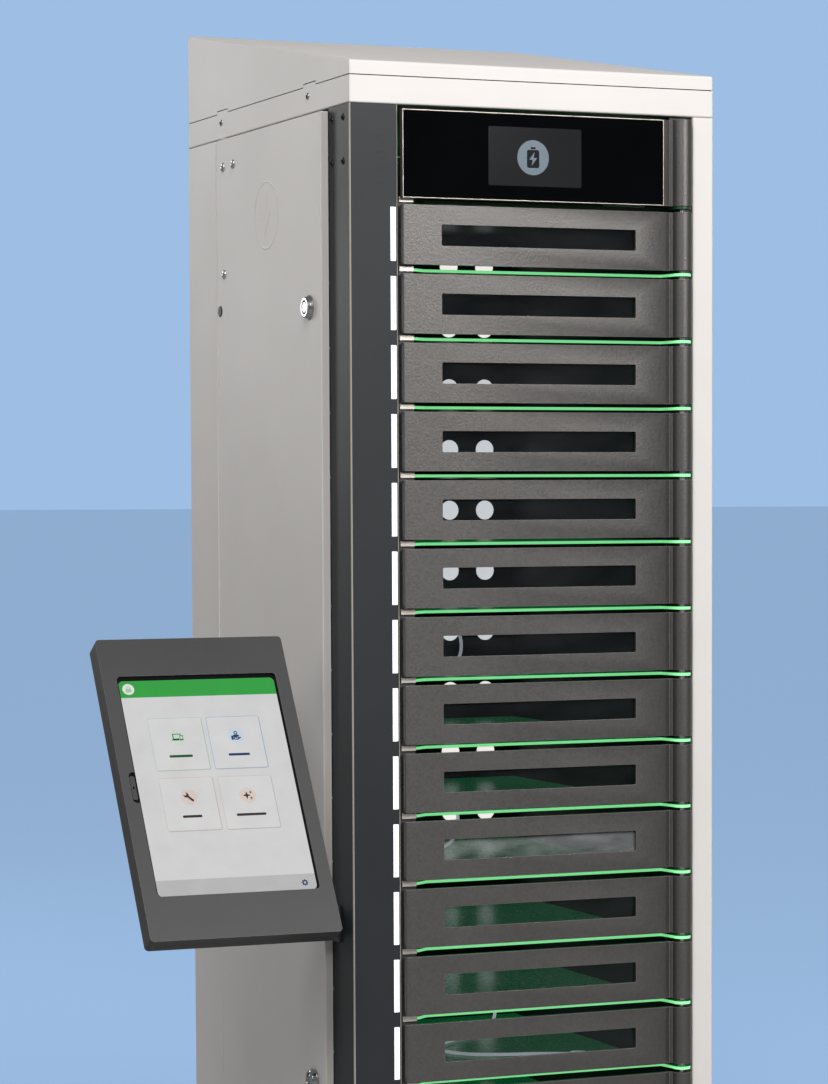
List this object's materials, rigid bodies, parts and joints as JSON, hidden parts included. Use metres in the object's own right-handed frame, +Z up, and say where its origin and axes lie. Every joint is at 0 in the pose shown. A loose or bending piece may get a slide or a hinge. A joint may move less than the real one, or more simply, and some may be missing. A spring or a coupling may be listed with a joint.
{
  "type": "phone charging kiosk",
  "caption": "Tall steel charging locker tower with small windowed doors, a display above them, a side service door and a tilted sign-in tablet on an arm.",
  "frame": {"origin": "centre of the underside of the base tray, on the floor", "axes": "+Z up, the bay doors face -Y, the tablet is on the -X side"},
  "size_m": [0.6444, 0.6086, 1.3008],
  "materials": {
    "door_paint": "fine textured powder coat, dark warm grey",
    "window_acrylic": "clear acrylic pane",
    "carcass_green": "gloss green coat",
    "rail_grey": "satin light grey coat",
    "pin_steel": "turned steel rod",
    "channel_black": "matt black coat",
    "column_anthracite": "satin anthracite powder coat",
    "light_diffuser": "opal diffuser, lit from behind",
    "cabinet_grey": "satin light warm grey powder coat",
    "inlet_plastic": "black moulded inlet",
    "lock_chrome": "polished cam lock",
    "display_glass": "black tinted glass",
    "module_black": "black electronics housing",
    "lead_white": "white PVC sleeve",
    "enclosure_paint": "satin dark grey powder coat",
    "tablet_screen": "tablet with a glass front"
  },
  "bodies": {
    "cabinet": {"locker_carcass": "carcass_green", "latch_rail": "rail_grey", "hinge_rod": "pin_steel", "hinge_channel": "channel_black", "left_front_column": "column_anthracite", "light_guide": "light_diffuser", "right_side_panel": "cabinet_grey", "left_rear_post": "cabinet_grey", "rear_panel": "cabinet_grey", "power_inlet": "inlet_plastic", "base_tray": "cabinet_grey", "kick_panel": "column_anthracite", "top_collar": "cabinet_grey", "sloped_cap": "cabinet_grey", "service_hinge_rod": "pin_steel", "display_frame": "door_paint", "display_glass": "display_glass", "lcd_module": "module_black", "main_controller": "module_black", "charger_rail": "module_black", "charging_lead_07": "lead_white", "charging_lead_10": "lead_white", "charging_lead_13": "lead_white", "tablet_bracket": "column_anthracite", "tablet_front_cover": "enclosure_paint", "tablet_back_cover": "enclosure_paint", "tablet": "tablet_screen"},
    "bay_door_01": {"door_01": "door_paint", "door_window_01": "window_acrylic"},
    "bay_door_02": {"door_02": "door_paint", "door_window_02": "window_acrylic"},
    "bay_door_03": {"door_03": "door_paint", "door_window_03": "window_acrylic"},
    "bay_door_04": {"door_04": "door_paint", "door_window_04": "window_acrylic"},
    "bay_door_05": {"door_05": "door_paint", "door_window_05": "window_acrylic"},
    "bay_door_06": {"door_06": "door_paint", "door_window_06": "window_acrylic"},
    "bay_door_07": {"door_07": "door_paint", "door_window_07": "window_acrylic"},
    "bay_door_08": {"door_08": "door_paint", "door_window_08": "window_acrylic"},
    "bay_door_09": {"door_09": "door_paint", "door_window_09": "window_acrylic"},
    "bay_door_10": {"door_10": "door_paint", "door_window_10": "window_acrylic"},
    "bay_door_11": {"door_11": "door_paint", "door_window_11": "window_acrylic"},
    "bay_door_12": {"door_12": "door_paint", "door_window_12": "window_acrylic"},
    "bay_door_13": {"door_13": "door_paint", "door_window_13": "window_acrylic"},
    "bay_door_14": {"door_14": "door_paint", "door_window_14": "window_acrylic"},
    "bay_door_15": {"door_15": "door_paint", "door_window_15": "window_acrylic"},
    "service_door": {"service_door": "cabinet_grey"},
    "service_lock_upper": {"service_lock_upper": "lock_chrome"},
    "service_lock_lower": {"service_lock_lower": "lock_chrome"}
  },
  "joints": [
    {"name": "bay_door_hinge_01", "type": "hinge", "parent": "cabinet", "child": "bay_door_01", "pos_m": [0.158, -0.242, 1.05425], "axis": [0, 0, 1], "range_deg": [0, 105]},
    {"name": "bay_door_hinge_02", "type": "hinge", "parent": "cabinet", "child": "bay_door_02", "pos_m": [0.158, -0.242, 0.98775], "axis": [0, 0, 1], "range_deg": [0, 105]},
    {"name": "bay_door_hinge_03", "type": "hinge", "parent": "cabinet", "child": "bay_door_03", "pos_m": [0.158, -0.242, 0.92125], "axis": [0, 0, 1], "range_deg": [0, 105]},
    {"name": "bay_door_hinge_04", "type": "hinge", "parent": "cabinet", "child": "bay_door_04", "pos_m": [0.158, -0.242, 0.85475], "axis": [0, 0, 1], "range_deg": [0, 105]},
    {"name": "bay_door_hinge_05", "type": "hinge", "parent": "cabinet", "child": "bay_door_05", "pos_m": [0.158, -0.242, 0.78825], "axis": [0, 0, 1], "range_deg": [0, 105]},
    {"name": "bay_door_hinge_06", "type": "hinge", "parent": "cabinet", "child": "bay_door_06", "pos_m": [0.158, -0.242, 0.72175], "axis": [0, 0, 1], "range_deg": [0, 105]},
    {"name": "bay_door_hinge_07", "type": "hinge", "parent": "cabinet", "child": "bay_door_07", "pos_m": [0.158, -0.242, 0.65525], "axis": [0, 0, 1], "range_deg": [0, 105]},
    {"name": "bay_door_hinge_08", "type": "hinge", "parent": "cabinet", "child": "bay_door_08", "pos_m": [0.158, -0.242, 0.58875], "axis": [0, 0, 1], "range_deg": [0, 105]},
    {"name": "bay_door_hinge_09", "type": "hinge", "parent": "cabinet", "child": "bay_door_09", "pos_m": [0.158, -0.242, 0.52225], "axis": [0, 0, 1], "range_deg": [0, 105]},
    {"name": "bay_door_hinge_10", "type": "hinge", "parent": "cabinet", "child": "bay_door_10", "pos_m": [0.158, -0.242, 0.45575], "axis": [0, 0, 1], "range_deg": [0, 105]},
    {"name": "bay_door_hinge_11", "type": "hinge", "parent": "cabinet", "child": "bay_door_11", "pos_m": [0.158, -0.242, 0.38925], "axis": [0, 0, 1], "range_deg": [0, 105]},
    {"name": "bay_door_hinge_12", "type": "hinge", "parent": "cabinet", "child": "bay_door_12", "pos_m": [0.158, -0.242, 0.32275], "axis": [0, 0, 1], "range_deg": [0, 105]},
    {"name": "bay_door_hinge_13", "type": "hinge", "parent": "cabinet", "child": "bay_door_13", "pos_m": [0.158, -0.242, 0.25625], "axis": [0, 0, 1], "range_deg": [0, 105]},
    {"name": "bay_door_hinge_14", "type": "hinge", "parent": "cabinet", "child": "bay_door_14", "pos_m": [0.158, -0.242, 0.18975], "axis": [0, 0, 1], "range_deg": [0, 105]},
    {"name": "bay_door_hinge_15", "type": "hinge", "parent": "cabinet", "child": "bay_door_15", "pos_m": [0.158, -0.242, 0.12325], "axis": [0, 0, 1], "range_deg": [0, 105]},
    {"name": "service_door_hinge", "type": "hinge", "parent": "cabinet", "child": "service_door", "pos_m": [-0.2013, 0.1185, 0.6035], "axis": [0, 0, -1], "range_deg": [0, 100]},
    {"name": "service_lock_upper_turn", "type": "hinge", "parent": "service_door", "child": "service_lock_upper", "pos_m": [-0.2055, -0.151, 0.9876], "axis": [1, 0, 0], "range_deg": [0, 90]},
    {"name": "service_lock_lower_turn", "type": "hinge", "parent": "service_door", "child": "service_lock_lower", "pos_m": [-0.2055, -0.151, 0.2213], "axis": [1, 0, 0], "range_deg": [0, 90]}
  ]
}
